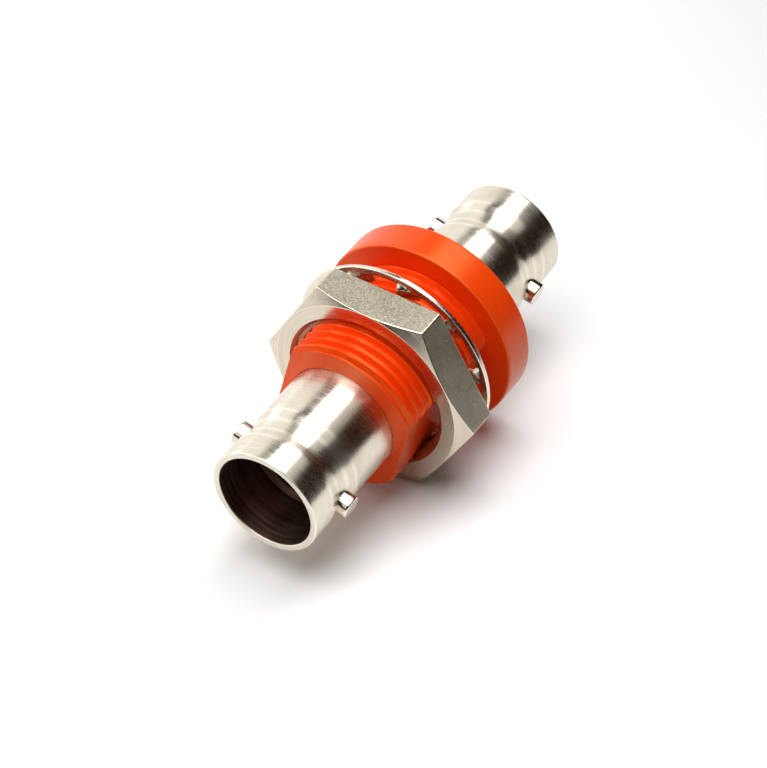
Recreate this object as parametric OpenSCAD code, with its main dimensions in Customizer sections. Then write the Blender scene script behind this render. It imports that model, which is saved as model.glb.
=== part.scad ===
// Insulated bulkhead adapter with a bayonet jack at both ends.
// Two turned shells meet inside a moulded bushing and trap its inner rib; the insulators and one
// double-ended contact lie inside them. A hex nut and a loose tooth washer ride on the bushing.
// Units are millimetres. The axis lies along Y with the near mouth towards -Y, Z is up, and the
// origin is on the axis at mid length. Depths are measured from a rim towards the middle.

/* [Overall] */
// Length from one rim to the other
overall_length = 37; // [30:0.05:46]
// Outside diameter of both jack shells
shell_d = 9.65; // [8:0.05:12]
// Length of near shell that stands out of the bushing
near_reach = 10.85; // [9.6:0.05:13.5]
// Length of far shell that stands out of the flange
far_reach = 11.7; // [9.6:0.05:14.5]

/* [Jack mouths] */
// Wall at the wide entry of a mouth
entry_wall = 0.575; // [0.45:0.005:0.7]
// Depth of the wide entry, just short of the insulator's tip
entry_depth = 4.8; // [4:0.05:5.9]
// Wall of the bore that the plug's outer contact touches
bore_wall = 0.75; // [0.6:0.005:0.95]
// Length of the cone between the entry and the bore
cone_length = 0.45; // [0.2:0.05:0.8]
// Depth of the mouth's floor
mouth_depth = 8.4; // [7:0.05:9.2]
// Thickness of the metal floor that holds the insulator in
floor_thickness = 1; // [0.6:0.05:1.3]
// Bevel on the outside of a rim
rim_bevel = 0.2; // [0.1:0.01:0.3]
// Bevel on the inside of a rim
entry_bevel = 0.12; // [0.05:0.01:0.2]

/* [Shell outside] */
// Length of the plain lip behind a rim
lip_length = 2.5; // [1.9:0.05:2.8]
// Length of the gentle slope at each end of the waist
slope_length = 1; // [0.4:0.05:1.2]
// Depth from the rim to the end of the shallow waist
shoulder_depth = 5.7; // [5.4:0.05:7]
// How far the waist lies below the lip
waist_drop = 0.25; // [0.1:0.01:0.3]

/* [Bayonet lugs] */
// Diameter of a lug pin
lug_d = 2; // [1.6:0.05:2.4]
// How far a lug stands out of the shell's full diameter
lug_stand = 0.675; // [0.5:0.005:0.85]
// Depth of a lug's centre from the rim
lug_depth = 4.2; // [3.4:0.05:4.8]
// Angle of the right-hand lugs, upwards from +X
lug_angle = -14; // [-90:1:90]
// Bevel on a lug's free end
lug_bevel = 0.2; // [0.1:0.01:0.3]
// How far a lug's inner end stays back from the bore
lug_setback = 0.08; // [0.02:0.01:0.12]

/* [Inside the shells] */
// Wall of a shell around the insulator
core_wall = 1.325; // [1.1:0.005:1.6]
// Wall of the far shell's spigot
spigot_wall = 0.5; // [0.4:0.01:0.9]
// Depth of the near shell's socket
socket_depth = 3; // [2:0.05:3.6]
// Room left past the end of the spigot
spigot_end_gap = 0.2; // [0.1:0.05:0.4]
// Diameter of the insulator's stub in the mouth
stub_d = 4.75; // [3.9:0.05:5.3]
// Depth of the stub's tip below the rim
stub_recess = 5.3; // [4.6:0.05:6.3]

/* [Contact] */
// Diameter of the hole for a mating pin
pin_bore_d = 1.38; // [1.15:0.01:1.7]
// Wall of a contact socket
socket_wall = 0.36; // [0.3:0.01:0.45]
// Depth of the hole for a mating pin
pin_bore_depth = 5; // [4:0.1:6]
// Depth of the contact's end below the stub's tip
contact_recess = 0.2; // [0.1:0.05:0.5]
// Width of the slot that splits a socket
slot_w = 0.3; // [0.2:0.01:0.36]
// Length of that slot
slot_length = 3.5; // [2.5:0.1:4.2]
// How far the contact's collar stands out
collar_step = 0.5; // [0.3:0.05:0.65]
// Length of the collar
collar_length = 1; // [0.6:0.05:1.4]

/* [Bushing] */
// Wall of the threaded barrel around the shells
barrel_wall = 2.125; // [1.7:0.005:2.6]
// Depth of the two flats, from the barrel's full radius
flat_depth = 1.3; // [0.6:0.05:1.55]
// Width of the seat that the panel rests against
seat_width = 1.85; // [1.4:0.05:2.6]
// Thickness of the flange
flange_thickness = 3.1; // [2:0.05:4]
// Thickness of the inner rib that the shells grip
rib_thickness = 2.4; // [1.6:0.05:3]
// Bevel on the flange's edges
flange_bevel = 0.15; // [0.05:0.01:0.4]
// Bevel at the start of the thread
thread_bevel = 0.3; // [0.1:0.05:0.5]

/* [Nut and washer] */
// Wall of the nut, from its bore to a flat
nut_wall = 1.5; // [1.1:0.05:2.2]
// Thickness of the nut
nut_thickness = 3.35; // [2.4:0.05:4.2]
// Distance from the panel seat to the nut's back
nut_standoff = 4.6; // [4.2:0.05:5.8]
// How far the nut's front face ends inside its flats
nut_face_inset = 0.05; // [0:0.01:0.3]
// Slope of the nut's front chamfer
nut_chamfer_angle = 27; // [15:1:35]
// Bevel at both ends of the nut's bore
nut_bore_bevel = 0.25; // [0.1:0.05:0.5]
// Distance from the nut's back to the washer's middle
washer_distance = 1; // [0.95:0.05:1.8]
// Thickness of the washer's stock
washer_thickness = 0.4; // [0.3:0.05:0.6]
// Width of the washer's ring
ring_width = 0.6; // [0.4:0.01:1.2]
// Number of teeth
teeth = 11; // [8:1:14]
// Length of a tooth
tooth_length = 1.05; // [0.8:0.05:1.5]
// Width of a tooth at the ring
tooth_root_w = 2.3; // [1.4:0.05:2.6]
// Width of a tooth at its tip
tooth_tip_w = 1.9; // [1.2:0.05:2.2]
// Twist of a tooth about its own middle
tooth_twist = 24; // [10:1:28]
// Place of the first tooth, upwards from +X
tooth_phase = 14; // [0:1:45]

/* [Fits] */
// Radial gap between pieces that are pressed or moulded together
seat_gap = 0.02; // [0.01:0.005:0.04]
// Radial gap around the contact in its insulators
contact_gap = 0.03; // [0.02:0.005:0.05]
// Radial gap between the thread and the nut
thread_gap = 0.05; // [0.03:0.01:0.1]
// Radial gap between the thread and the washer's teeth
tooth_gap = 0.4; // [0.1:0.01:0.5]
// What is left of that gap under the barrel, where the washer is pushed up
tooth_rest_gap = 0.05; // [0.03:0.01:0.1]

/* [Hidden] */
$fn = 96;
eps = 1;

near = -1;
far = 1;
half = overall_length / 2;
shell_r = shell_d / 2;
entry_r = shell_r - entry_wall;
mouth_r = shell_r - bore_wall;
waist_r = shell_r - waist_drop;
core_r = shell_r - core_wall;
spigot_r = core_r + spigot_wall;
stub_r = stub_d / 2;
contact_r = pin_bore_d / 2 + socket_wall;
collar_r = contact_r + collar_step;
half_rib = rib_thickness / 2;

bushing_front = near_reach - half;
bushing_back = half - far_reach;
seat_y = bushing_back - flange_thickness;
barrel_r = shell_r + barrel_wall;
flange_r = barrel_r + seat_width;

nut_bore_r = barrel_r + thread_gap;
nut_flat_r = nut_bore_r + nut_wall;
nut_corner_r = nut_flat_r / cos(30);
nut_back = seat_y - nut_standoff;
nut_front = nut_back - nut_thickness;
tooth_tip_r = barrel_r + tooth_gap;
ring_in_r = tooth_tip_r + tooth_length;
ring_out_r = ring_in_r + ring_width;
washer_y = nut_back + washer_distance;
washer_lift = tooth_gap - tooth_rest_gap;

// Place along Y of a depth below the near or the far rim
function at(side, depth) = side * (half - depth);

// Turns an outline of [radius, y] points about the Y axis
module turned(outline) {
    rotate([-90, 0, 0])
        rotate_extrude()
            polygon(outline);
}

// Faces +X towards an angle measured upwards from +X
module facing(angle) {
    rotate([0, -angle, 0])
        children();
}

// Outside of a shell, from its rim to the end of its waist
function shell_outside(side) = [
    [shell_r - rim_bevel, at(side, 0)],
    [shell_r, at(side, rim_bevel)],
    [shell_r, at(side, lip_length)],
    [waist_r, at(side, lip_length + slope_length)],
    [waist_r, at(side, shoulder_depth - slope_length)],
    [shell_r, at(side, shoulder_depth)]
];

// Inside of a shell, from its core bore out to its rim
function shell_inside(side) = [
    [core_r, at(side, mouth_depth + floor_thickness)],
    [stub_r + seat_gap, at(side, mouth_depth + floor_thickness)],
    [stub_r + seat_gap, at(side, mouth_depth)],
    [mouth_r, at(side, mouth_depth)],
    [mouth_r, at(side, entry_depth + cone_length)],
    [entry_r, at(side, entry_depth)],
    [entry_r, at(side, entry_bevel)],
    [entry_r + entry_bevel, at(side, 0)]
];

// One lug pin, or with a gap the hole that it is pressed into
module lug_pin(side, hand, gap = 0) {
    inner = mouth_r + lug_setback;
    outer = shell_r + lug_stand;
    facing(hand > 0 ? lug_angle : lug_angle + 180)
        translate([0, at(side, lug_depth), 0])
            rotate([0, 90, 0])
                if (gap > 0)
                    translate([0, 0, mouth_r - eps])
                        cylinder(r = lug_d / 2 + gap, h = outer - mouth_r + 2 * eps);
                else
                    union() {
                        translate([0, 0, inner])
                            cylinder(r = lug_d / 2, h = outer - lug_bevel - inner);
                        translate([0, 0, outer - lug_bevel])
                            cylinder(r1 = lug_d / 2, r2 = lug_d / 2 - lug_bevel, h = lug_bevel);
                    }
}

module lug(side, hand) {
    color("#d8d2c4")
        lug_pin(side, hand);
}

module near_shell() {
    socket_floor = -half_rib - socket_depth;
    color("#d2cbb8")
        difference() {
            turned(concat(shell_outside(near), [
                [shell_r, -half_rib],
                [spigot_r + seat_gap, -half_rib],
                [spigot_r + seat_gap, socket_floor],
                [core_r, socket_floor]
            ], shell_inside(near)));
            for (hand = [-1, 1])
                lug_pin(near, hand, seat_gap);
        }
}

module far_shell() {
    spigot_end = spigot_end_gap - half_rib - socket_depth;
    color("#d2cbb8")
        difference() {
            turned(concat(shell_outside(far), [
                [shell_r, half_rib],
                [spigot_r, half_rib],
                [spigot_r, spigot_end],
                [core_r, spigot_end]
            ], shell_inside(far)));
            for (hand = [-1, 1])
                lug_pin(far, hand, seat_gap);
        }
}

// Sleeve with a thin stub in the mouth and half of the collar's pocket at its inner end
module insulator(side) {
    bore_r = contact_r + contact_gap;
    pocket_r = collar_r + contact_gap;
    pocket_y = side * (collar_length / 2 + contact_gap);
    body_y = at(side, mouth_depth + floor_thickness + seat_gap);
    color("#efece2")
        turned([
            [bore_r, at(side, stub_recess)],
            [stub_r, at(side, stub_recess)],
            [stub_r, body_y],
            [core_r - seat_gap, body_y],
            [core_r - seat_gap, 0],
            [pocket_r, 0],
            [pocket_r, pocket_y],
            [bore_r, pocket_y]
        ]);
}

module near_insulator() {
    insulator(near);
}

module far_insulator() {
    insulator(far);
}

module centre_contact() {
    end_depth = stub_recess + contact_recess;
    color("#d9b25a")
        difference() {
            turned([
                [0, at(near, end_depth)],
                [contact_r, at(near, end_depth)],
                [contact_r, -collar_length / 2],
                [collar_r, -collar_length / 2],
                [collar_r, collar_length / 2],
                [contact_r, collar_length / 2],
                [contact_r, at(far, end_depth)],
                [0, at(far, end_depth)]
            ]);
            for (side = [near, far]) {
                turned([
                    [0, at(side, end_depth - eps)],
                    [pin_bore_d / 2, at(side, end_depth - eps)],
                    [pin_bore_d / 2, at(side, end_depth + pin_bore_depth)],
                    [0, at(side, end_depth + pin_bore_depth)]
                ]);
                translate([0, at(side, end_depth + slot_length / 2 - eps / 2), 0])
                    cube([slot_w, slot_length + eps, 4 * contact_r], center = true);
            }
        }
}

// One moulding: threaded barrel, flange and inner rib. The barrel is plain at the thread's full diameter.
module bushing() {
    bore_r = shell_r + seat_gap;
    flat_r = barrel_r - flat_depth;
    barrel_end = seat_y + flange_thickness / 2;
    color("#f0440c")
        difference() {
            union() {
                intersection() {
                    turned([
                        [0, bushing_front],
                        [barrel_r - thread_bevel, bushing_front],
                        [barrel_r, bushing_front + thread_bevel],
                        [barrel_r, barrel_end],
                        [0, barrel_end]
                    ]);
                    facing(lug_angle)
                        translate([-flat_r, bushing_front - eps, -2 * barrel_r])
                            cube([2 * flat_r, barrel_end - bushing_front + 2 * eps, 4 * barrel_r]);
                }
                turned([
                    [0, seat_y],
                    [flange_r - flange_bevel, seat_y],
                    [flange_r, seat_y + flange_bevel],
                    [flange_r, bushing_back - flange_bevel],
                    [flange_r - flange_bevel, bushing_back],
                    [0, bushing_back]
                ]);
            }
            turned([
                [0, bushing_front - eps],
                [bore_r, bushing_front - eps],
                [bore_r, -half_rib],
                [spigot_r + seat_gap, -half_rib],
                [spigot_r + seat_gap, half_rib],
                [bore_r, half_rib],
                [bore_r, bushing_back + eps],
                [0, bushing_back + eps]
            ]);
        }
}

module hex_nut() {
    face_r = nut_flat_r - nut_face_inset;
    wide_r = nut_corner_r + eps;
    chamfer_y = nut_front + (wide_r - face_r) * tan(nut_chamfer_angle);
    color("#c9c1ae")
        difference() {
            intersection() {
                translate([0, nut_front, 0])
                    rotate([-90, 0, 0])
                        cylinder(r = nut_corner_r, h = nut_thickness, $fn = 6);
                turned([
                    [0, nut_front],
                    [face_r, nut_front],
                    [wide_r, chamfer_y],
                    [wide_r, nut_back + eps],
                    [0, nut_back + eps]
                ]);
            }
            turned([
                [0, nut_front - eps],
                [nut_bore_r + nut_bore_bevel + eps, nut_front - eps],
                [nut_bore_r, nut_front + nut_bore_bevel],
                [nut_bore_r, nut_back - nut_bore_bevel],
                [nut_bore_r + nut_bore_bevel + eps, nut_back + eps],
                [0, nut_back + eps]
            ]);
        }
}

// Ring with twisted teeth that point inwards. It hangs loose on the barrel, a little above the axis.
module lock_washer() {
    tooth_end = ring_in_r + washer_thickness / 4;
    color("#d5cfc0")
        translate([0, washer_y, washer_lift])
            union() {
                turned([
                    [ring_in_r, -washer_thickness / 2],
                    [ring_out_r, -washer_thickness / 2],
                    [ring_out_r, washer_thickness / 2],
                    [ring_in_r, washer_thickness / 2]
                ]);
                for (i = [0:teeth - 1])
                    facing(tooth_phase + i * 360 / teeth)
                        rotate([90 + tooth_twist, 0, 0])
                            linear_extrude(washer_thickness, center = true)
                                polygon([
                                    [tooth_tip_r, -tooth_tip_w / 2],
                                    [tooth_tip_r, tooth_tip_w / 2],
                                    [tooth_end, tooth_root_w / 2],
                                    [tooth_end, -tooth_root_w / 2]
                                ]);
            }
}

near_shell();
far_shell();
lug(near, 1);  // near_right_lug
lug(near, -1);  // near_left_lug
lug(far, 1);  // far_right_lug
lug(far, -1);  // far_left_lug
near_insulator();
far_insulator();
centre_contact();
bushing();
hex_nut();
lock_washer();
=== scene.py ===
"""Looks of an insulated bulkhead adapter with a bayonet jack at both ends.

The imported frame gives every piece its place. The turned, moulded and stamped pieces are remade here as
smooth surfaces with rounded edges and a real thread, and each gets the finish of its own material.
Lengths are metres. The axis lies along Y with the near mouth towards -Y, and Z is up.
Angles around the axis start at +X and grow towards +Z.
"""

from __future__ import annotations

import logging
import math
from collections.abc import Sequence
from dataclasses import dataclass, field
from enum import Enum

import bpy
import numpy as np
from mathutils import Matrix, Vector

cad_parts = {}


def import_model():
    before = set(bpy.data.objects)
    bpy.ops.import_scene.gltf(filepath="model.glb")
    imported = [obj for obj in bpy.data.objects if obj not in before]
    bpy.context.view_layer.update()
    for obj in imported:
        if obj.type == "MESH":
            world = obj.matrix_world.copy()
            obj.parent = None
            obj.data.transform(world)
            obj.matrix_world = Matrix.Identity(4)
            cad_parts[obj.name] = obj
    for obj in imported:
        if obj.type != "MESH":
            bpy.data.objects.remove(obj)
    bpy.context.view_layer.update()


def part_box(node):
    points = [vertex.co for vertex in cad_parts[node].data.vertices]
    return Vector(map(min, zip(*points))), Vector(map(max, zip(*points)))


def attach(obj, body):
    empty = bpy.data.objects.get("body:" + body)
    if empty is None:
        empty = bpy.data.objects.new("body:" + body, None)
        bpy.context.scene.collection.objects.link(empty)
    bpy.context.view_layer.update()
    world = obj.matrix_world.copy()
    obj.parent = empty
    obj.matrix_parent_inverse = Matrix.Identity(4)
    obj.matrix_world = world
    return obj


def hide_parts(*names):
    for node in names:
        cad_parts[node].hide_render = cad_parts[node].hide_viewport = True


LOG = logging.getLogger("adapter")
MM = 0.001
TURN = 2 * math.pi
# The UV map of turns around against length along, and the attribute of the edges, which the finishes turn
# into edge wear and a painted highlight.
AROUND = "around"
EDGE = "edge"
# Rows in a rounding, and how many reaches away the rows beside it lie.
ROUNDING_STEPS = 5
FLAT_ROW = 1.3
# Edges sharper than this, in degrees, stay sharp in the shading.
SHARP_ANGLE = 34.0
# The step between two rows that would else fall together.
JOIN_STEP = 0.02 * MM
Tree = bpy.types.NodeTree
Finish = bpy.types.Material


class End(Enum):
    """The two jacks, by the sign of their place along the axis."""

    NEAR = -1
    FAR = 1

    @property
    def label(self) -> str:
        """The jack's name at the start of its nodes' names."""
        return self.name.lower()


class Hand(Enum):
    """The two lugs of a jack, by how far each is turned from the right-hand one, in degrees."""

    RIGHT = 0
    LEFT = 180


class Region(Enum):
    """The two finishes of a piece that is worked in two ways, by material slot."""

    MAIN = 0
    FACE = 1


# -------- surfaces --------


@dataclass(frozen=True)
class Corner:
    """A corner of a section. Radius and place along the axis are numbers or arrays over the angle."""

    radius: float | np.ndarray
    along: float | np.ndarray
    reach: float = 0.0


@dataclass
class Section:
    """Rows of a surface around the axis: radius and place along it, rows by columns, and edge wear with
    painted highlight.
    """

    radius: np.ndarray
    along: np.ndarray
    edge: np.ndarray

    def then(self, *others: Section) -> Section:
        """The rows of this section followed by those of others."""
        every = (self, *others)
        return Section(
            np.concatenate([s.radius for s in every]),
            np.concatenate([s.along for s in every]),
            np.concatenate([s.edge for s in every]),
        )


def rounded(corners: Sequence[Corner], columns: int, closed: bool = True) -> Section:
    """Lays out a section with its corners rounded.

    A corner B with neighbours A and C becomes the quadratic curve from the point of BA that lies
    the corner's reach from B, drawn towards B, to the same point of BC. A row at FLAT_ROW reaches
    before and after the curve keeps the flat stretches flat. The reach is at most a third of a side.

    Args:
        corners: the corners in order.
        columns: how many columns the surface has around the axis.
        closed: whether the last corner joins the first. The ends of an open section stay sharp.

    Returns:
        The section, with edge wear and painted highlight of one in the middle of each rounding.
    """
    steps = np.linspace(0, 1, ROUNDING_STEPS)
    width = np.zeros(columns)
    place = np.array([np.broadcast_arrays(c.radius, c.along, width)[:2] for c in corners])
    place = place.transpose(0, 2, 1)
    to_last = np.roll(place, 1, axis=0) - place
    to_next = np.roll(place, -1, axis=0) - place
    rows, wear_and_sheen = [], []
    for index, corner in enumerate(corners):
        here = place[index]
        is_end = not closed and index in (0, len(corners) - 1)
        if corner.reach == 0 or is_end:
            rows.append(here[None])
            wear_and_sheen.append(np.zeros(1))
            continue
        pull = []
        for side in (to_last[index], to_next[index]):
            length = np.linalg.norm(side, axis=-1, keepdims=True)
            pull.append(side / length * np.minimum(corner.reach, length / 3))
        start, stop = here + pull[0], here + pull[1]
        t = steps[:, None, None]
        curve = (1 - t) ** 2 * start + 2 * t * (1 - t) * here + t**2 * stop
        before, after = (here + FLAT_ROW * side for side in pull)
        rows.append(np.concatenate([before[None], curve, after[None]]))
        wear_and_sheen.append(np.concatenate([[0.0], np.sin(math.pi * steps), [0.0]]))
    grid = np.concatenate(rows)
    return Section(grid[..., 0], grid[..., 1], np.concatenate(wear_and_sheen))


def around_axis(section: Section, angles: np.ndarray) -> np.ndarray:
    """Carries a section around the Y axis: x is radius times cosine, and z is radius times sine.

    Args:
        section: the rows to carry round.
        angles: the angle of each column, in radians.

    Returns:
        Points as rows by columns by three.
    """
    x = section.radius * np.cos(angles)
    z = section.radius * np.sin(angles)
    return np.stack([x, section.along, z], axis=-1)


def linked(name: str, data: bpy.types.ID) -> bpy.types.Object:
    """Adds an object with this data to the scene."""
    thing = bpy.data.objects.new(name, data)
    bpy.context.scene.collection.objects.link(thing)
    return thing


@dataclass
class Skin:
    """A grid of points that closes around its columns, and around its rows or onto two poles.

    The quads whose first corner lies in one of region_rows take the finish of Region.FACE.
    """

    name: str
    points: np.ndarray
    edge: np.ndarray
    poles: bool = False
    region_rows: tuple[int, ...] = ()

    def faces(self) -> tuple[np.ndarray, np.ndarray]:
        """Joins the grid's neighbours.

        Returns:
            The four corners of each quad, and the row of its first corner.
        """
        rows, columns = self.points.shape[:2]
        row = np.arange(rows - 1 if self.poles else rows)[:, None]
        column = np.arange(columns)[None]
        after = (row + 1) % rows
        beside = (column + 1) % columns
        here, there = row * columns, after * columns
        quads = np.stack([here + column, here + beside, there + beside, there + column], -1)
        owner = np.broadcast_to(row, quads.shape[:2])
        return quads.reshape(-1, 4), owner.reshape(-1)

    def build(self) -> bpy.types.Object:
        """Makes the mesh object.

        The enclosed volume is the sum over triangles of a dot (b cross c) over six. Where it comes
        out negative, every face is turned, so that all faces point outwards.

        Returns:
            The object, with its UV map of turns around against length along, and its edge wear and
            painted highlight.
        """
        rows, columns = self.points.shape[:2]
        quads, owner = self.faces()
        vertices = self.points.reshape(-1, 3)
        fans = np.zeros((0, 3), int)
        if self.poles:
            ends = self.points[[0, -1]].mean(axis=1)
            count = len(vertices)
            vertices = np.concatenate([vertices, ends])
            ring = np.arange(columns)
            beside = (ring + 1) % columns
            last = (rows - 1) * columns
            fans = np.concatenate(
                [
                    np.stack([beside, ring, np.full(columns, count)], -1),
                    np.stack([ring + last, beside + last, np.full(columns, count + 1)], -1),
                ]
            )
        triangles = np.concatenate([quads[:, [0, 1, 2]], quads[:, [0, 2, 3]], fans])
        a, b, c = (vertices[triangles[:, k]] for k in range(3))
        outwards = np.einsum("ij,ij->", a, np.cross(b, c)) > 0
        length = self.row_lengths()
        column = np.tile(np.arange(columns), len(quads) // columns)
        turns = np.stack([column, column + 1, column + 1, column], -1) / columns
        lengths = length[np.stack([owner, owner, owner + 1, owner + 1], -1)]
        if not outwards:
            quads, fans = quads[:, ::-1], fans[:, ::-1]
            turns, lengths = turns[:, ::-1], lengths[:, ::-1]
        mesh = bpy.data.meshes.new(self.name)
        mesh.from_pydata(vertices.tolist(), [], quads.tolist() + fans.tolist())
        chart = np.zeros((len(mesh.loops), 2), np.float32)
        chart[: quads.size] = np.stack([turns.ravel(), lengths.ravel()], -1)
        mesh.uv_layers.new(name=AROUND).data.foreach_set("uv", chart.ravel())
        wear_and_sheen = np.zeros(len(vertices), np.float32)
        wear_and_sheen[: rows * columns] = np.repeat(self.edge, columns)
        mesh.attributes.new(EDGE, "FLOAT", "POINT").data.foreach_set("value", wear_and_sheen)
        regions = np.full(len(mesh.polygons), Region.MAIN.value, np.int32)
        regions[: len(quads)][np.isin(owner, self.region_rows)] = Region.FACE.value
        mesh.polygons.foreach_set("material_index", regions)
        mesh.polygons.foreach_set("use_smooth", np.ones(len(mesh.polygons), bool))
        mesh.set_sharp_from_angle(angle=math.radians(SHARP_ANGLE))
        mesh.update()
        return linked(self.name, mesh)

    def row_lengths(self) -> np.ndarray:
        """How far each row lies along the section from the first, in centimetres."""
        step = np.linalg.norm(np.roll(self.points, -1, axis=0) - self.points, axis=-1).mean(axis=1)
        return np.concatenate([[0.0], np.cumsum(step)]) / (10 * MM)


def even_angles(columns: int) -> np.ndarray:
    """Angles spread evenly over one turn, in radians."""
    return np.arange(columns) / columns * TURN


@dataclass(frozen=True)
class Thread:
    """A right-hand 60-degree thread on the Y axis with narrow crests and wider roots."""

    pitch: float = 0.9 * MM
    crest_radius: float = 6.95 * MM
    root_radius: float = 6.5 * MM
    crest_along: float = -7.05 * MM
    crest_share: float = 0.07
    root_share: float = 0.34
    softness: float = 0.45
    rows_per_pitch: int = 16

    def radius(self, along: np.ndarray, angles: np.ndarray) -> np.ndarray:
        """Height of the thread's surface.

        The distance to the nearest crest, as a share of half a pitch, falls by one pitch a turn as
        the angle grows. The height is one up to the crest's share, nought from the root's share, and
        straight between them, with its two bends softened by a share of softness.

        Args:
            along: places along the axis, rows by one.
            angles: angles around it, in radians.

        Returns:
            The radius, rows by columns.
        """
        phase = (along - self.crest_along) / self.pitch + angles / TURN
        share = np.abs(phase - np.round(phase)) * 2
        flank = np.clip((1 - self.root_share - share) / (1 - self.root_share - self.crest_share), 0, 1)
        soft = flank * flank * (3 - 2 * flank)
        height = (1 - self.softness) * flank + self.softness * soft
        return self.root_radius + (self.crest_radius - self.root_radius) * height

    def places(self, start: float, stop: float) -> np.ndarray:
        """Rows from start to stop along the axis, rows_per_pitch to a pitch, as a column."""
        count = int(math.ceil(abs(stop - start) / self.pitch * self.rows_per_pitch)) + 1
        return np.linspace(start, stop, count)[:, None]


# -------- materials --------


def tint(code: str) -> tuple[float, float, float, float]:
    """Turns an sRGB hex colour such as #c8c0b0 into a linear RGBA one."""
    shares = [int(code[i : i + 2], 16) / 255 for i in (1, 3, 5)]
    red, green, blue = (s / 12.92 if s <= 0.04045 else ((s + 0.055) / 1.055) ** 2.4 for s in shares)
    return red, green, blue, 1.0


def per(size: float) -> float:
    """The texture scale at which one feature is as wide as size, in metres."""
    return 1 / size


def add(
    tree: Tree,
    kind: str,
    settings: dict[str, object] | None = None,
    inputs: dict[str | int, object] | None = None,
) -> bpy.types.Node:
    """Adds a node with its settings and its inputs.

    Args:
        tree: the node tree.
        kind: the node's type without the ShaderNode in front.
        settings: properties of the node by name.
        inputs: values or output sockets by the name or number of the input.

    Returns:
        The node.
    """
    node = tree.nodes.new("ShaderNode" + kind)
    for name, value in (settings or {}).items():
        setattr(node, name, value)
    for name, value in (inputs or {}).items():
        if isinstance(value, bpy.types.NodeSocket):
            tree.links.new(value, node.inputs[name])
        else:
            node.inputs[name].default_value = value
    return node


def blank_material(name: str) -> tuple[Finish, Tree]:
    """A new material with an empty node tree."""
    material = bpy.data.materials.new(name)
    material.use_nodes = True
    material.node_tree.nodes.clear()
    return material, material.node_tree


def ramp(tree: Tree, value: object, low: float, high: float, out: tuple[float, float]) -> object:
    """Maps value from low..high to out smoothly, and returns the socket."""
    node = add(
        tree,
        "MapRange",
        {"interpolation_type": "SMOOTHSTEP"},
        {"Value": value, "From Min": low, "From Max": high, "To Min": out[0], "To Max": out[1]},
    )
    return node.outputs["Result"]


def blended(tree: Tree, share: object, first: object, second: object) -> object:
    """Mixes two colours by share, and returns the socket."""
    return add(tree, "Mix", {"data_type": "RGBA"}, {0: share, 6: first, 7: second}).outputs[2]


def combined(tree: Tree, operation: str, first: object, second: object) -> object:
    """Joins two values by a Math operation, and returns the socket."""
    return add(tree, "Math", {"operation": operation}, {0: first, 1: second}).outputs[0]


def noise(tree: Tree, spot: object, size: float, detail: float) -> object:
    """Noise whose features are as wide as size, in metres, and returns the socket."""
    return add(
        tree, "TexNoise", inputs={"Vector": spot, "Scale": per(size), "Detail": detail}
    ).outputs["Fac"]


def scatter(tree: Tree, spot: object, spacing: float) -> object:
    """Distance to the nearest of scattered points, as a share of their spacing, as a socket."""
    return add(
        tree, "TexVoronoi", inputs={"Vector": spot, "Scale": per(spacing), "Randomness": 1.0}
    ).outputs["Distance"]


def edge_wear(tree: Tree) -> object:
    """The edge wear and painted edge highlight of the surface, from nought to one, as a socket."""
    return add(tree, "Attribute", {"attribute_name": EDGE}).outputs["Fac"]


def bumped(tree: Tree, depth: float, height: object, under: object = None) -> object:
    """The normal of a relief.

    Args:
        tree: the node tree.
        depth: how deep a height of one is, in metres.
        height: the socket of the height.
        under: the normal that the relief lies on, if it isn't the surface's own.

    Returns:
        The socket of the normal.
    """
    inputs = {"Strength": 1.0, "Distance": depth, "Height": height}
    if under is not None:
        inputs["Normal"] = under
    return add(tree, "Bump", inputs=inputs).outputs["Normal"]


def surfaced(tree: Tree, kind: str, inputs: dict[str, object]) -> None:
    """Ends a tree with one shader of a kind, which has these inputs."""
    shader = add(tree, kind, inputs=inputs)
    add(tree, "OutputMaterial", inputs={"Surface": shader.outputs[0]})


def lathe_coordinates(tree: Tree, drift: float) -> object:
    """Coordinates in which a pattern runs round the axis, as the marks of a lathe tool do.

    They are the distance from the axis, the place along it, and a little of x plus z, so that a
    mark slowly changes on its way round.

    Args:
        tree: the node tree.
        drift: how much of x plus z is taken.

    Returns:
        The vector socket.
    """
    spot = add(tree, "TexCoord").outputs["Object"]
    parts = add(tree, "SeparateXYZ", inputs={0: spot})
    flat = add(tree, "CombineXYZ", inputs={"X": parts.outputs["X"], "Y": parts.outputs["Z"]})
    radius = add(tree, "VectorMath", {"operation": "LENGTH"}, {0: flat.outputs[0]})
    total = combined(tree, "ADD", parts.outputs["X"], parts.outputs["Z"])
    slow = combined(tree, "MULTIPLY", total, drift)
    joined = {"X": radius.outputs["Value"], "Y": parts.outputs["Y"], "Z": slow}
    return add(tree, "CombineXYZ", inputs=joined).outputs[0]


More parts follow.
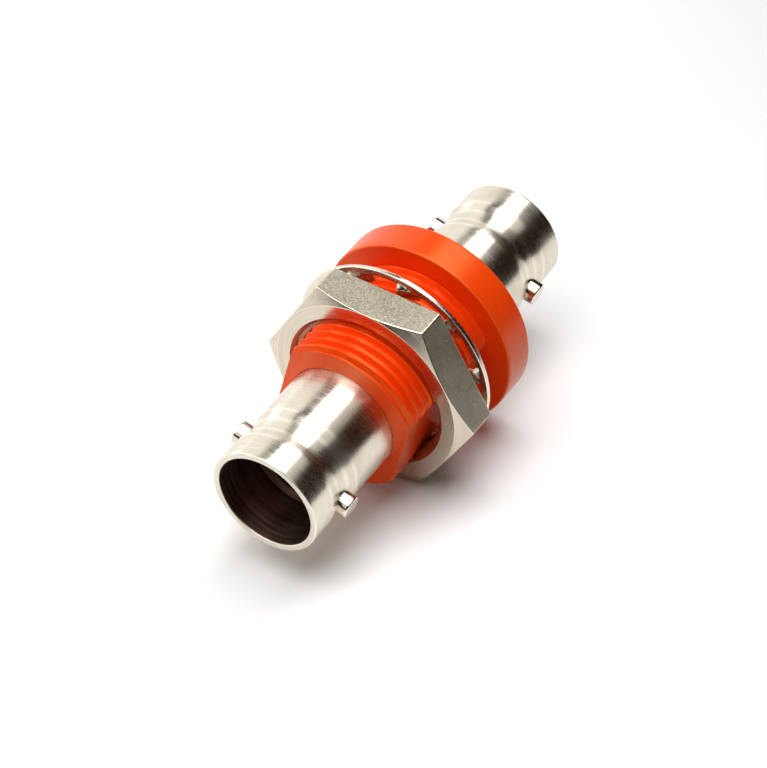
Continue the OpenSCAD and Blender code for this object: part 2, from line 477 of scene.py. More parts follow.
@dataclass(frozen=True)
class TurnedNickel:
    """Nickel plate on turned brass. The plate follows the tool marks, so highlights are long and frayed.

    The lathe's chatter is a slow wave under the marks, as deep as chatter_share of a mark.
    """

    name: str
    colour: str = "#dad1c0"
    stain: str = "#c6bba5"
    roughness: float = 0.25
    anisotropy: float = 0.9
    quarter: float = 0.25
    drift: float = 0.02
    mark_width: float = 0.11 * MM
    mark_depth: float = 0.0016 * MM
    chatter_width: float = 0.9 * MM
    chatter_share: float = 6.0
    stain_size: float = 2.4 * MM
    pit_spacing: float = 0.7 * MM

    def material(self) -> Finish:
        """Warm bright metal with tool marks round the axis, faint stains, hairlines, and edges paled by
        wear and a painted highlight.
        """
        material, tree = blank_material(self.name)
        lathe = lathe_coordinates(tree, self.drift)
        spot = add(tree, "TexCoord").outputs["Object"]
        marks = noise(tree, lathe, self.mark_width, 3.0)
        chatter = noise(tree, lathe, self.chatter_width, 1.0)
        clouds = noise(tree, spot, self.stain_size, 4.0)
        pits = scatter(tree, spot, self.pit_spacing)
        edge = edge_wear(tree)
        patches = ramp(tree, clouds, 0.5, 0.78, (0, 0.5))
        stained = blended(tree, patches, tint(self.colour), tint(self.stain))
        streaked = blended(tree, ramp(tree, marks, 0.3, 0.7, (0, 0.16)), stained, tint("#fffaf0"))
        # Edges are paled towards white, partly as edge wear and partly as a painted highlight.
        worn_and_highlit = blended(tree, ramp(tree, edge, 0.2, 1.0, (0, 0.6)), streaked, tint("#f4eee2"))
        clouded = ramp(tree, clouds, 0.3, 0.75, (self.roughness - 0.04, self.roughness + 0.07))
        rough = combined(tree, "ADD", clouded, ramp(tree, marks, 0.35, 0.7, (0, 0.05)))
        height = combined(tree, "ADD", marks, ramp(tree, pits, 0.0, 0.09, (-1.2, 0)))
        wave = bumped(tree, self.chatter_share * self.mark_depth, chatter)
        tangent = add(tree, "Tangent", {"direction_type": "UV_MAP", "uv_map": AROUND}).outputs[0]
        surfaced(
            tree,
            "BsdfPrincipled",
            {
                "Base Color": worn_and_highlit,
                "Metallic": 1.0,
                "Roughness": rough,
                "Anisotropic": self.anisotropy,
                "Anisotropic Rotation": self.quarter,
                "Normal": bumped(tree, self.mark_depth, height, wave),
                "Tangent": tangent,
            },
        )
        return material


@dataclass(frozen=True)
class TumbledNickel:
    """Nickel plate on barrel-tumbled metal. The blanks knock together, so flats are grey and specked."""

    name: str
    colour: str = "#bdb4a0"
    stain: str = "#a99f8a"
    roughness: float = 0.34
    grain: float = 0.16 * MM
    depth: float = 0.0025 * MM
    stain_size: float = 1.7 * MM
    knock_spacing: float = 0.85 * MM

    def material(self) -> Finish:
        """Grey-beige satin metal with fine grain, a few bright and dark specks, and edges paled by wear
        and a painted highlight.
        """
        material, tree = blank_material(self.name)
        spot = add(tree, "TexCoord").outputs["Object"]
        grain = noise(tree, spot, self.grain, 3.0)
        clouds = noise(tree, spot, self.stain_size, 3.0)
        knocks = scatter(tree, spot, self.knock_spacing)
        edge = edge_wear(tree)
        patches = ramp(tree, clouds, 0.35, 0.7, (0, 0.7))
        base = blended(tree, patches, tint(self.colour), tint(self.stain))
        specked = blended(tree, ramp(tree, grain, 0.4, 0.75, (0, 0.22)), base, tint("#fbf6ea"))
        bright = blended(tree, ramp(tree, knocks, 0.05, 0.11, (0.6, 0)), specked, tint("#fffdf6"))
        # Edges are paled towards white, partly as edge wear and partly as a painted highlight.
        worn_and_highlit = blended(tree, ramp(tree, edge, 0.2, 1.0, (0, 0.75)), bright, tint("#f6f0e4"))
        grained = ramp(tree, grain, 0.3, 0.7, (self.roughness - 0.05, self.roughness + 0.08))
        rough = combined(tree, "SUBTRACT", grained, ramp(tree, edge, 0.2, 1.0, (0, 0.16)))
        height = combined(tree, "ADD", grain, ramp(tree, knocks, 0.0, 0.12, (-1.0, 0)))
        normal = bumped(tree, self.depth, height)
        inputs = {"Base Color": worn_and_highlit, "Metallic": 1.0, "Roughness": rough, "Normal": normal}
        surfaced(tree, "BsdfPrincipled", inputs)
        return material


@dataclass(frozen=True)
class MouldedPlastic:
    """Injection-moulded thermoplastic. Its skin takes the mould's polish, so it has a soft gloss."""

    name: str
    colour: str = "#fd4808"
    shade: str = "#f83e05"
    gloss: str = "#ffdc78"
    # Pale orange for the edges, for scuffs and a painted highlight.
    scuff: str = "#ff7a3c"
    roughness: float = 0.31
    specular: float = 0.75
    grain: float = 0.09 * MM
    depth: float = 0.0016 * MM
    flow_size: float = 3.5 * MM

    def material(self) -> Finish:
        """Evenly coloured plastic with faint flow clouds, a fine skin grain, and edges lightened by
        scuffs and a painted highlight.
        """
        material, tree = blank_material(self.name)
        spot = add(tree, "TexCoord").outputs["Object"]
        clouds = noise(tree, spot, self.flow_size, 3.0)
        grain = noise(tree, spot, self.grain, 2.0)
        base = blended(tree, ramp(tree, clouds, 0.3, 0.7, (0, 1)), tint(self.colour), tint(self.shade))
        # Edges are lightened towards pale orange, partly as scuffs and partly as a painted highlight.
        scuffed_and_highlit = blended(tree, ramp(tree, edge_wear(tree), 0.3, 1.0, (0, 0.35)), base, tint(self.scuff))
        surfaced(
            tree,
            "BsdfPrincipled",
            {
                "Base Color": scuffed_and_highlit,
                "Roughness": ramp(tree, grain, 0.3, 0.7, (self.roughness - 0.04, self.roughness + 0.06)),
                "Specular IOR Level": self.specular,
                "Specular Tint": tint(self.gloss),
                "Normal": bumped(tree, self.depth, grain),
            },
        )
        return material


# -------- the parts --------


@dataclass
class Part:
    """What every sub-assembly shares: how its pieces join the model."""

    columns: int = 160

    def place(
        self, skin: Skin, finishes: Sequence[Finish], node: str, slot: str, body: str = "adapter"
    ) -> bpy.types.Object:
        """Builds a skin, dresses it, and lets it stand for its node.

        Args:
            skin: the surface.
            finishes: its finishes, in the order of Region.
            node: the frame's node that it stands for.
            slot: the record's material slot. It is not used.
            body: the body that it rides on.

        Returns:
            The finished piece.
        """
        piece = skin.build()
        for finish in finishes:
            piece.data.materials.append(finish)
        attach(piece, body)
        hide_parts(node)
        LOG.info("%s: %d faces for %s", piece.name, len(piece.data.polygons), node)
        return piece


def rim_of(end: End) -> float:
    """Place along the axis of a jack's rim."""
    low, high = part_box(f"{end.label}_shell")
    return low.y if end is End.NEAR else high.y


@dataclass
class JackShell(Part):
    """A turned and plated tube with a plain lip, a shallow waist and a stepped mouth."""

    end: End = End.NEAR
    entry_radius: float = 4.25 * MM
    mouth_radius: float = 4.075 * MM
    core_radius: float = 3.5 * MM
    stub_radius: float = 2.395 * MM
    waist_drop: float = 0.25 * MM
    lip_length: float = 2.5 * MM
    slope_length: float = 1.0 * MM
    shoulder_depth: float = 5.7 * MM
    entry_depth: float = 4.8 * MM
    cone_length: float = 0.45 * MM
    mouth_depth: float = 8.4 * MM
    floor_thickness: float = 1.0 * MM
    socket_depth: float = 3.0 * MM
    half_rib: float = 1.2 * MM
    spigot_radius: float = 4.0 * MM
    spigot_gap: float = 0.02 * MM
    spigot_end_gap: float = 0.2 * MM

    def __post_init__(self) -> None:
        """Takes the outside from the frame."""
        self.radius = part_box(f"{self.end.label}_shell")[1].z
        self.rim = rim_of(self.end)

    def at(self, depth: float) -> float:
        """Place along the axis of a depth below the rim."""
        return self.rim - self.end.value * depth

    def inner_end(self) -> list[Corner]:
        """The corners, from outside to core, of the near shell's socket or the far shell's spigot."""
        if self.end is End.NEAR:
            meeting, back = self.spigot_radius + self.spigot_gap, -self.half_rib
            stop = -self.half_rib - self.socket_depth
        else:
            meeting, back = self.spigot_radius, self.half_rib
            stop = self.spigot_end_gap - self.half_rib - self.socket_depth
        places = (self.radius, back), (meeting, back), (meeting, stop), (self.core_radius, stop)
        return [Corner(*place) for place in places]

    def section(self) -> Section:
        """The closed section, from the rim along the outside and back through the mouth."""
        waist = self.radius - self.waist_drop
        outside = [
            Corner(self.radius, self.at(0), 0.16 * MM),
            Corner(self.radius, self.at(self.lip_length), 0.3 * MM),
            Corner(waist, self.at(self.lip_length + self.slope_length), 0.3 * MM),
            Corner(waist, self.at(self.shoulder_depth - self.slope_length), 0.3 * MM),
            Corner(self.radius, self.at(self.shoulder_depth), 0.3 * MM),
        ]
        floor = self.at(self.mouth_depth + self.floor_thickness)
        inside = [
            Corner(self.core_radius, floor),
            Corner(self.stub_radius, floor),
            Corner(self.stub_radius, self.at(self.mouth_depth), 0.08 * MM),
            Corner(self.mouth_radius, self.at(self.mouth_depth), 0.1 * MM),
            Corner(self.mouth_radius, self.at(self.entry_depth + self.cone_length), 0.1 * MM),
            Corner(self.entry_radius, self.at(self.entry_depth), 0.1 * MM),
            Corner(self.entry_radius, self.at(0), 0.13 * MM),
        ]
        return rounded(outside + self.inner_end() + inside, self.columns)

    def make(self, finish: Finish, bore: Finish) -> None:
        """Builds and dresses the shell.

        Args:
            finish: the finish of its turned outside.
            bore: the finish of its bored inside, whose dark colour is painted shade.
        """
        node = f"{self.end.label}_shell"
        section = self.section()
        points = around_axis(section, even_angles(self.columns))
        inside = np.flatnonzero(section.radius[:, 0] < self.entry_radius + JOIN_STEP)
        skin = Skin(f"{node}_tube", points, section.edge, region_rows=tuple(inside.tolist()))
        self.place(skin, [finish, bore], node, "shell_nickel")


@dataclass
class BayonetLug(Part):
    """A short pin pressed into a shell, with a softly rounded head."""

    columns: int = 48
    end: End = End.NEAR
    hand: Hand = Hand.RIGHT
    angle: float = -14.0
    pin_radius: float = 1.0 * MM
    depth: float = 4.2 * MM
    inner: float = 4.155 * MM
    outer: float = 5.5 * MM
    head_dish: float = 0.05 * MM
    centre_radius: float = 0.04 * MM

    def make(self, finish: Finish) -> None:
        """Builds and dresses the pin.

        Its section is turned about a radial line: the radius is measured from that line, and the
        place along it is the distance from the adapter's axis.

        Args:
            finish: its finish.
        """
        node = f"{self.end.label}_{self.hand.name.lower()}_lug"
        section = rounded(
            [
                Corner(self.centre_radius, self.inner),
                Corner(self.pin_radius, self.inner, 0.08 * MM),
                Corner(self.pin_radius, self.outer, 0.2 * MM),
                Corner(self.centre_radius, self.outer - self.head_dish),
            ],
            self.columns,
            closed=False,
        )
        turn = even_angles(self.columns)
        out = section.along
        side = section.radius * np.cos(turn)
        axial = section.radius * np.sin(turn) + rim_of(self.end) - self.end.value * self.depth
        lean = math.radians(self.angle + self.hand.value)
        x = out * math.cos(lean) - side * math.sin(lean)
        z = out * math.sin(lean) + side * math.cos(lean)
        skin = Skin(f"{node}_pin", np.stack([x, axial, z], -1), section.edge, poles=True)
        self.place(skin, [finish], node, "lug_nickel")


@dataclass
class Insulator(Part):
    """A turned plastic sleeve with a thin stub in the mouth and half of the collar's pocket."""

    end: End = End.NEAR
    stub_radius: float = 2.375 * MM
    core_radius: float = 3.48 * MM
    bore_radius: float = 1.08 * MM
    pocket_radius: float = 1.58 * MM
    pocket_depth: float = 0.53 * MM
    stub_recess: float = 5.3 * MM
    body_depth: float = 9.42 * MM

    def make(self, finish: Finish) -> None:
        """Builds and dresses the sleeve.

        Args:
            finish: its finish.
        """
        node = f"{self.end.label}_insulator"
        low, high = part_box(node)
        tip, middle = (low.y, high.y) if self.end is End.NEAR else (high.y, low.y)
        body = tip + self.end.value * (self.stub_recess - self.body_depth)
        pocket = middle + self.end.value * self.pocket_depth
        section = rounded(
            [
                Corner(self.bore_radius, tip, 0.12 * MM),
                Corner(self.stub_radius, tip, 0.15 * MM),
                Corner(self.stub_radius, body, 0.05 * MM),
                Corner(self.core_radius, body, 0.1 * MM),
                Corner(self.core_radius, middle, 0.05 * MM),
                Corner(self.pocket_radius, middle),
                Corner(self.pocket_radius, pocket),
                Corner(self.bore_radius, pocket),
            ],
            self.columns,
        )
        points = around_axis(section, even_angles(self.columns))
        skin = Skin(f"{node}_sleeve", points, section.edge)
        self.place(skin, [finish], node, "dielectric")


@dataclass
class Bushing(Part):
    """One moulding: a threaded barrel with two flats, a flange, and a rib inside."""

    thread: Thread = field(default_factory=Thread)
    flat_angle: float = -14.0
    flat_radius: float = 5.65 * MM
    bore_radius: float = 4.845 * MM
    rib_radius: float = 4.02 * MM
    half_rib: float = 1.2 * MM
    seat: float = 3.7 * MM
    start_bevel: float = 0.3 * MM
    face_width: float = 0.5 * MM
    flat_columns: int = 6
    cut_columns: int = 34
    round_columns: int = 36
    cut_margin: float = 0.01
    least_cosine: float = 0.05

    def angles(self) -> np.ndarray:
        """Angles packed where the flats cut the thread and sparse on the flats, in radians."""
        first = math.acos(self.flat_radius / self.thread.root_radius) - self.cut_margin
        last = math.acos(self.flat_radius / self.thread.crest_radius) + self.cut_margin
        quarter = np.concatenate(
            [
                np.linspace(0, first, self.flat_columns, endpoint=False),
                np.linspace(first, last, self.cut_columns, endpoint=False),
                np.linspace(last, math.pi / 2, self.round_columns, endpoint=False),
            ]
        )
        half = np.concatenate([quarter, math.pi - quarter[:0:-1], [math.pi / 2]])
        half = np.unique(np.round(half, 9))
        return np.concatenate([half, half + math.pi]) + math.radians(self.flat_angle)

    def barrel(self, angles: np.ndarray, front: float) -> Section:
        """The thread, cut back by the start bevel at the front and by the two flats.

        The flats lie at flat_radius over the cosine of the angle from their own direction.

        Args:
            angles: the angles of the columns.
            front: where the barrel starts.

        Returns:
            The rows of the outside.
        """
        along = self.thread.places(front, self.seat)
        bevel = self.thread.crest_radius - self.start_bevel + (along - front)
        across = np.abs(np.cos(angles - math.radians(self.flat_angle)))
        flats = self.flat_radius / np.maximum(across, self.least_cosine)
        radius = np.minimum(np.minimum(self.thread.radius(along, angles), bevel), flats)
        return Section(radius, np.broadcast_to(along, radius.shape), np.zeros(len(along)))

    def make(self, finish: Finish) -> None:
        """Builds and dresses the moulding.

        Args:
            finish: its finish.
        """
        low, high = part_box("bushing")
        front, back, flange = low.y, high.y, high.z
        angles = self.angles()
        count = len(angles)
        mouth = rounded(
            [
                Corner(self.bore_radius, -self.half_rib),
                Corner(self.bore_radius, front, 0.08 * MM),
                Corner(self.bore_radius + self.face_width, front),
            ],
            count,
            closed=False,
        )
        barrel = self.barrel(angles, front)
        rest = rounded(
            [
                Corner(barrel.radius[-1] + JOIN_STEP, self.seat),
                Corner(flange, self.seat, 0.2 * MM),
                Corner(flange, back, 0.2 * MM),
                Corner(self.bore_radius, back, 0.1 * MM),
                Corner(self.bore_radius, self.half_rib),
                Corner(self.rib_radius, self.half_rib),
                Corner(self.rib_radius, -self.half_rib),
            ],
            count,
            closed=False,
        )
        section = mouth.then(barrel, rest)
        skin = Skin("bushing_moulding", around_axis(section, angles), section.edge)
        self.place(skin, [finish], "bushing", "bushing_plastic")


@dataclass
class HexNut(Part):
    """A hexagonal nut, chamfered in front, with the thread cut through its bore."""

    thread: Thread = field(default_factory=Thread)
    thread_gap: float = 0.05 * MM
    minor_radius: float = 6.56 * MM
    bore_bevel: float = 0.25 * MM
    face_radius: float = 8.45 * MM
    chamfer_angle: float = 27.0
    corner_power: float = 260.0
    front_rows: int = 11
    from_corner: tuple[float, ...] = (0.15, 0.3, 0.45, 0.6, 0.8, 1.1, 1.6, 3, 6, 10, 15, 20, 25)

    def angles(self) -> np.ndarray:
        """Angles from_corner degrees to each side of the corners, and at mid-flat, in radians.

        The six corners stand at every sixth of a turn from +X.
        """
        half = np.radians(self.from_corner)
        sixth = np.concatenate([[0.0], half, [TURN / 12], TURN / 6 - half[::-1]])
        return (sixth[None] + np.arange(6)[:, None] * TURN / 6).ravel()

    def hexagon(self, angles: np.ndarray, flat: float) -> np.ndarray:
        """Radius of the hexagon's outline.

        Each flat's cosine over its distance, raised to corner_power and summed, and brought back by
        the same root, gives a hexagon whose corners are slightly rounded.

        Args:
            angles: the angles of the columns.
            flat: distance of the flats from the axis.

        Returns:
            The radius at each angle.
        """
        normals = (np.arange(6)[:, None] + 0.5) * TURN / 6
        facing = np.maximum(np.cos(angles - normals), 0)
        return flat / np.sum(facing**self.corner_power, axis=0) ** (1 / self.corner_power)

    def bore(self, angles: np.ndarray, front: float, back: float) -> Section:
        """The threaded bore, opened by a bevel at both faces.

        Args:
            angles: the angles of the columns.
            front: place of the front face.
            back: place of the back face.

        Returns:
            The rows from back to front.
        """
        along = self.thread.places(back, front)
        wide = self.thread.crest_radius + self.thread_gap + self.bore_bevel
        bevel = wide - np.minimum(along - front, back - along)
        cut = np.maximum(self.thread.radius(along, angles) + self.thread_gap, self.minor_radius)
        radius = np.maximum(cut, bevel)
        return Section(radius, np.broadcast_to(along, radius.shape), np.zeros(len(along)))

    def make(self, flats: Finish, faces: Finish) -> None:
        """Builds and dresses the nut.

        Args:
            flats: the finish of its tumbled sides and back.
            faces: the finish of its turned front, which is its first front_rows rows.
        """
        low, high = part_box("hex_nut")
        front, back, flat = low.y, high.y, high.z
        angles = self.angles()
        outline = self.hexagon(angles, flat)
        chamfer = front + (outline - self.face_radius) * math.tan(math.radians(self.chamfer_angle))
        bore = self.bore(angles, front, back)
        wide = bore.radius[-1] + JOIN_STEP
        shell = rounded(
            [
                Corner(wide, front),
                Corner(self.face_radius, front, 0.05 * MM),
                Corner(outline, chamfer, 0.07 * MM),
                Corner(outline, back, 0.09 * MM),
                Corner(wide, back),
            ],
            len(angles),
            closed=False,
        )
        section = shell.then(bore)
        turned = tuple(range(self.front_rows))
        skin = Skin("hex_nut_threaded", around_axis(section, angles), section.edge, region_rows=turned)
        self.place(skin, [flats, faces], "hex_nut", "nut_nickel", body="hex_nut")


@dataclass
class ToothWasher(Part):
    """A stamped ring whose inward teeth are twisted out of its plane."""

    columns: int = 240
    teeth: int = 11
    phase: float = 14.0
    twist: float = 24.0
    thickness: float = 0.4 * MM
    ring_width: float = 0.6 * MM
    tooth_tip: float = 7.35 * MM
    tip_width: float = 1.9 * MM
    root_width: float = 2.3 * MM
    rounding: float = 0.09 * MM
    steps: int = 14
    tooth_columns: int = 40
    bend_share: float = 0.4
    tip_share: float = 0.06
    tip_blunt: float = 0.5
    # The tips' edge share paints edge wear and a painted highlight.
    tip_wear: float = 0.6
    wear_share: float = 0.1
    squareness: float = 0.22
    root_overlap: float = 0.7

    def __post_init__(self) -> None:
        """Takes its outside and its place along and above the axis from the frame."""
        low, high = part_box("lock_washer")
        self.outer = (high.x - low.x) / 2
        self.middle = (low.y + high.y) / 2
        self.lift = (low.z + high.z) / 2

    def ring(self) -> Skin:
        """The flat ring's surface."""
        outer, inner = self.outer, self.outer - self.ring_width
        low, high = self.middle - self.thickness / 2, self.middle + self.thickness / 2
        corners = [(outer, low), (outer, high), (inner, high), (inner, low)]
        section = rounded([Corner(r, y, self.rounding) for r, y in corners], self.columns)
        points = around_axis(section, even_angles(self.columns)) + [0, 0, self.lift]
        return Skin("lock_washer_ring", points, section.edge)

    def tooth(self, index: int) -> Skin:
        """One tooth, carried from inside the ring to its tip.

        Its section is a rounded rectangle: cosine and sine of an angle, each raised to a small power,
        times half the width and half the thickness. The section narrows evenly on its way inwards,
        and turns from flat to the full twist over bend_share of it. Its thickness closes like a
        quarter circle over the last tip_share, down to tip_blunt of it. Its edge wear and painted
        highlight grow to tip_wear over the last wear_share.

        Args:
            index: which tooth it is.

        Returns:
            The tooth's surface.
        """
        share = np.linspace(0, 1, self.steps)[:, None]
        root = self.outer - self.ring_width * self.root_overlap
        reach = root + (self.tooth_tip - root) * share
        past = ((share - (1 - self.tip_share)) / self.tip_share).clip(0, 1)
        closing = np.maximum(np.sqrt(1 - past**2), self.tip_blunt)
        width = (self.root_width + (self.tip_width - self.root_width) * share) / 2
        bend = np.clip(share / self.bend_share, 0, 1)
        twist = math.radians(self.twist) * bend * bend * (3 - 2 * bend)
        turn = even_angles(self.tooth_columns)
        a = width * np.sign(np.cos(turn)) * np.abs(np.cos(turn)) ** self.squareness
        b = np.sign(np.sin(turn)) * np.abs(np.sin(turn)) ** self.squareness
        b = closing * self.thickness / 2 * b
        across = a * np.cos(twist) + b * np.sin(twist)
        axial = self.middle - a * np.sin(twist) + b * np.cos(twist)
        angle = math.radians(self.phase) + index * TURN / self.teeth
        x = reach * math.cos(angle) - across * math.sin(angle)
        z = reach * math.sin(angle) + across * math.cos(angle) + self.lift
        wear_and_sheen = self.tip_wear * np.clip(1 - (1 - share[:, 0]) / self.wear_share, 0, 1)
        return Skin(f"lock_washer_tooth_{index + 1:02d}", np.stack([x, axial, z], -1), wear_and_sheen, poles=True)

    def make(self, finish: Finish) -> None:
        """Builds the ring and its teeth as one piece, and dresses it.

        Args:
            finish: its finish.
        """
        ring = self.place(self.ring(), [finish], "lock_washer", "washer_nickel", body="lock_washer")
        teeth = [self.tooth(i).build() for i in range(self.teeth)]
        for tooth in teeth:
            tooth.data.materials.append(finish)
        with bpy.context.temp_override(
            active_object=ring,
            object=ring,
            selected_objects=[ring, *teeth],
            selected_editable_objects=[ring, *teeth],
        ):
            bpy.ops.object.join()


# -------- studio --------


def set_piece(name: str, points: Sequence, faces: Sequence, material: Finish) -> bpy.types.Object:
    """Adds a piece of the set, which isn't part of the adapter.

    Args:
        name: its name.
        points: its corners.
        faces: the corners of each face.
        material: its finish.

    Returns:
        The piece.
    """
    mesh = bpy.data.meshes.new(name)
    mesh.from_pydata([tuple(point) for point in points], [], faces)
    mesh.materials.append(material)
    piece = linked(name, mesh)
    return piece


@dataclass(frozen=True)
class Patch:
    """A piece of a sphere around the set. Azimuth runs from +Y towards +X, in degrees."""

    name: str
    azimuths: tuple[float, float]
    elevations: tuple[float, float]
    distance: float = 0.5
    steps: int = 24

    def make(self, material: Finish) -> None:
        """Builds the patch as part of the stage: distance times each direction.

        Args:
            material: its finish.
        """
        azimuth = np.radians(np.linspace(*self.azimuths, self.steps))[:, None]
        elevation = np.radians(np.linspace(*self.elevations, self.steps))[None]
        level = np.cos(elevation)
        grid = self.distance * np.stack(
            [np.sin(azimuth) * level, np.cos(azimuth) * level, np.sin(elevation) + 0 * azimuth], -1
        )
        spot = np.arange(self.steps**2).reshape(self.steps, self.steps)
        quads = np.stack([spot[:-1, :-1], spot[1:, :-1], spot[1:, 1:], spot[:-1, 1:]], -1).reshape(-1, 4)
        board = set_piece(self.name, grid.reshape(-1, 3).tolist(), quads.tolist(), material)
        board.visible_camera = False


def direction(azimuth: float, elevation: float) -> Vector:
    """The unit vector of an azimuth from +Y towards +X and an elevation, both in degrees."""
    turn, rise = math.radians(azimuth), math.radians(elevation)
    return Vector((math.sin(turn) * math.cos(rise), math.cos(turn) * math.cos(rise), math.sin(rise)))


def aimed(name: str, data: bpy.types.ID, place: Vector, back: Vector) -> bpy.types.Object:
    """Adds a camera or a lamp at a place, with its back towards a direction."""
    thing = linked(name, data)
    thing.location = place
    thing.rotation_mode = "QUATERNION"
    thing.rotation_quaternion = back.to_track_quat("Z", "Y")
    return thing


@dataclass(frozen=True)
class Panel:
    """A rectangular lamp that hangs level or faces the adapter. A radiance of one is paper white."""

    name: str
    centre: tuple[float, float, float]
    size: tuple[float, float]
    radiance: float
    level: bool = False

    def make(self) -> None:
        """Sets up the lamp. Its watts are radiance times pi times area."""
        data = bpy.data.lights.new(self.name, "AREA")
        data.shape = "RECTANGLE"
        data.size, data.size_y = self.size
        data.energy = self.radiance * math.pi * self.size[0] * self.size[1]
        place = Vector(self.centre)
        back = Vector((0, 0, 1)) if self.level else place
        aimed(self.name, data, place, back).visible_camera = False


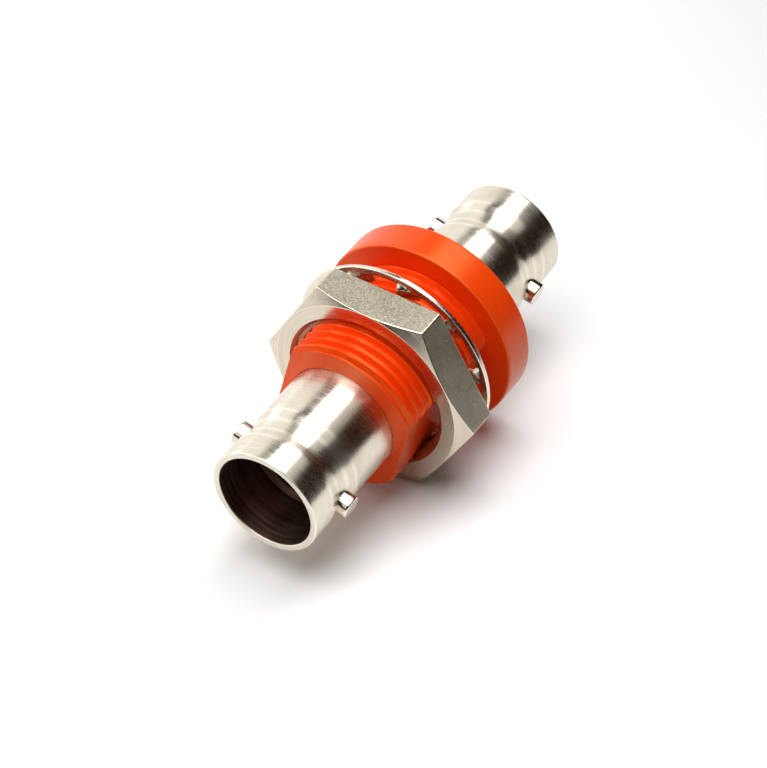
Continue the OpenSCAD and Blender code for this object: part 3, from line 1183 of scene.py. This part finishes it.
@dataclass
class Studio:
    """A pale table under a soft box and beside a bright wall, with dark cards that draw the metal.

    The table reads as gain where it is seen, and as bounce where it lights the adapter from below.
    """

    azimuth: float = 32.66
    elevation: float = 45.15
    distance: float = 215.45 * MM
    aim: tuple[float, float, float] = (0.07 * MM, -1.57 * MM, -1.33 * MM)
    lens: float = 124.55
    sensor: float = 36.0
    clip: tuple[float, float] = (0.01, 10.0)
    floor_half: float = 0.9
    frame_height: float = 0.48
    frame_span: tuple[float, float] = (-0.36, -0.144)
    frame_length: float = 1.0
    sky: float = 0.05
    bounce: float = 0.6
    gain: float = 1.05
    panels: tuple[Panel, ...] = (
        Panel("back_box", (0.015, 0.22, 0.5), (0.31, 0.48), 3.9, level=True),
        Panel("left_window", tuple(0.7 * direction(-88, 11)), (0.46, 0.23), 1.8),
        Panel("left_wall", tuple(0.85 * direction(-62, 22)), (1.45, 0.68), 0.2),
        Panel("front_box", tuple(0.6 * direction(-150, 74)), (0.46, 0.46), 3.6),
        Panel("front_window", tuple(0.7 * direction(-120, 30)), (0.4, 0.34), 1.6),
    )

    def camera(self) -> None:
        """Sets up the camera. It looks at aim, and its azimuth runs from -Y towards +X."""
        back = direction(180 - self.azimuth, self.elevation)
        data = bpy.data.cameras.new("camera")
        data.lens = self.lens
        data.sensor_width = self.sensor
        data.clip_start, data.clip_end = self.clip
        place = Vector(self.aim) + back * self.distance
        bpy.context.scene.camera = aimed("camera", data, place, back)

    def seen_directly(self, tree: Tree) -> object:
        """Tells rays that show a thing from rays that light a thing.

        Args:
            tree: the node tree.

        Returns:
            The socket: one for rays from the camera, from gloss or through glass, else nought.
        """
        path = add(tree, "LightPath").outputs
        first = combined(tree, "MAXIMUM", path["Is Camera Ray"], path["Is Glossy Ray"])
        return combined(tree, "MAXIMUM", first, path["Is Transmission Ray"])

    def world(self) -> None:
        """A white surround for what is seen, and an even sky that lights the set."""
        world = bpy.data.worlds.new("surround")
        world.use_nodes = True
        tree = world.node_tree
        tree.nodes.clear()
        strength = ramp(tree, self.seen_directly(tree), 0, 1, (self.sky, 1.0))
        light = add(tree, "Background", inputs={"Color": tint("#fffefb"), "Strength": strength})
        add(tree, "OutputWorld", inputs={"Surface": light.outputs[0]})
        bpy.context.scene.world = world

    def floor(self) -> None:
        """The table. It passes under the nut's lower flat and the flange, so it leans a little."""
        nut_low, flange_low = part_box("hex_nut")[0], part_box("bushing")[0]
        front = Vector((0, nut_low.y, nut_low.z))
        seat = Vector((0, Bushing.seat, flange_low.z))
        run = (seat - front).normalized()
        half = self.floor_half
        corners = [
            front + run * along + Vector((side, 0, 0))
            for side, along in ((-half, -half), (half, -half), (half, half), (-half, half))
        ]
        material, tree = blank_material("matt white table")
        level = ramp(tree, self.seen_directly(tree), 0, 1, (self.bounce, self.gain))
        white = add(tree, "CombineColor", inputs={"Red": level, "Green": level, "Blue": level})
        surfaced(tree, "BsdfDiffuse", {"Color": white.outputs[0]})
        set_piece("table", corners, [(0, 1, 2, 3)], material)

    def cards(self) -> None:
        """Dark cards at the right and in front, and the thin dark frame of the soft box."""
        felt, tree = blank_material("dark card")
        surfaced(tree, "BsdfDiffuse", {"Color": tint("#3a3026")})
        for patch in (
            Patch("right_card", (-10, 100), (-6, 47), 0.14),
            Patch("camera_card", (100, 180), (-4, 42), 0.3),
            Patch("front_card", (180, 245), (-4, 18), 0.3),
        ):
            patch.make(felt)
        left, right = self.frame_span
        corners = [
            (x, y, self.frame_height)
            for x, y in ((left, 0), (right, 0), (right, self.frame_length), (left, self.frame_length))
        ]
        edge = set_piece("box_frame", corners, [(0, 1, 2, 3)], felt)
        edge.visible_camera = False

    def make(self) -> None:
        """Builds the whole set."""
        self.camera()
        self.world()
        self.floor()
        self.cards()
        for panel in self.panels:
            panel.make()
        bpy.context.scene.view_settings.view_transform = "Standard"
        LOG.info("studio is ready")


# -------- main --------


def dress(node: str, material: Finish) -> None:
    """Gives a node of the frame, whose own shape stays, its finish.

    Args:
        node: the node's name.
        material: its finish.
    """
    piece = bpy.data.objects[node]
    piece.data.materials.clear()
    piece.data.materials.append(material)
    LOG.info("%s: kept from the frame", node)


def main() -> None:
    """Builds the set and the adapter's pieces in order."""
    logging.basicConfig(level=logging.INFO, format="%(name)s: %(message)s")
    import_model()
    Studio().make()

    shell_nickel = TurnedNickel("nickel-plated turned brass").material()
    # The bore inside each mouth is coloured dark reddish brown as painted shade.
    painted_shade_bore = TurnedNickel(
        "thinly plated bored brass", colour="#704c3a", stain="#5c3a2a", roughness=0.34, anisotropy=0.3
    ).material()
    lug_nickel = TurnedNickel("nickel-plated brass pin", roughness=0.12, anisotropy=0.2).material()
    nut_flats = TumbledNickel("nickel-plated tumbled brass").material()
    nut_faces = TurnedNickel(
        "nickel-plated faced brass", colour="#c4b9a5", roughness=0.2, anisotropy=0.3
    ).material()
    washer_nickel = TumbledNickel(
        "nickel-plated stamped steel", colour="#ddd5c4", stain="#cfc6b4", roughness=0.2, depth=0.0006 * MM
    ).material()
    orange = MouldedPlastic("moulded orange nylon").material()
    # The insulators are coloured dark red-brown as painted shade inside the mouths.
    dielectric = MouldedPlastic(
        "moulded red-brown phenolic", colour="#7d2c16", shade="#6e2510", gloss="#ffffff", roughness=0.4
    ).material()
    gold = TurnedNickel(
        "gold-plated beryllium copper", colour="#e0b45c", stain="#c99a45", roughness=0.2, anisotropy=0.0
    ).material()

    for end in End:
        JackShell(end=end).make(shell_nickel, painted_shade_bore)
        Insulator(end=end).make(dielectric)
        for hand in Hand:
            BayonetLug(end=end, hand=hand).make(lug_nickel)
    dress("centre_contact", gold)
    Bushing().make(orange)
    HexNut().make(nut_flats, nut_faces)
    ToothWasher().make(washer_nickel)


if __name__ == "__main__":
    main()
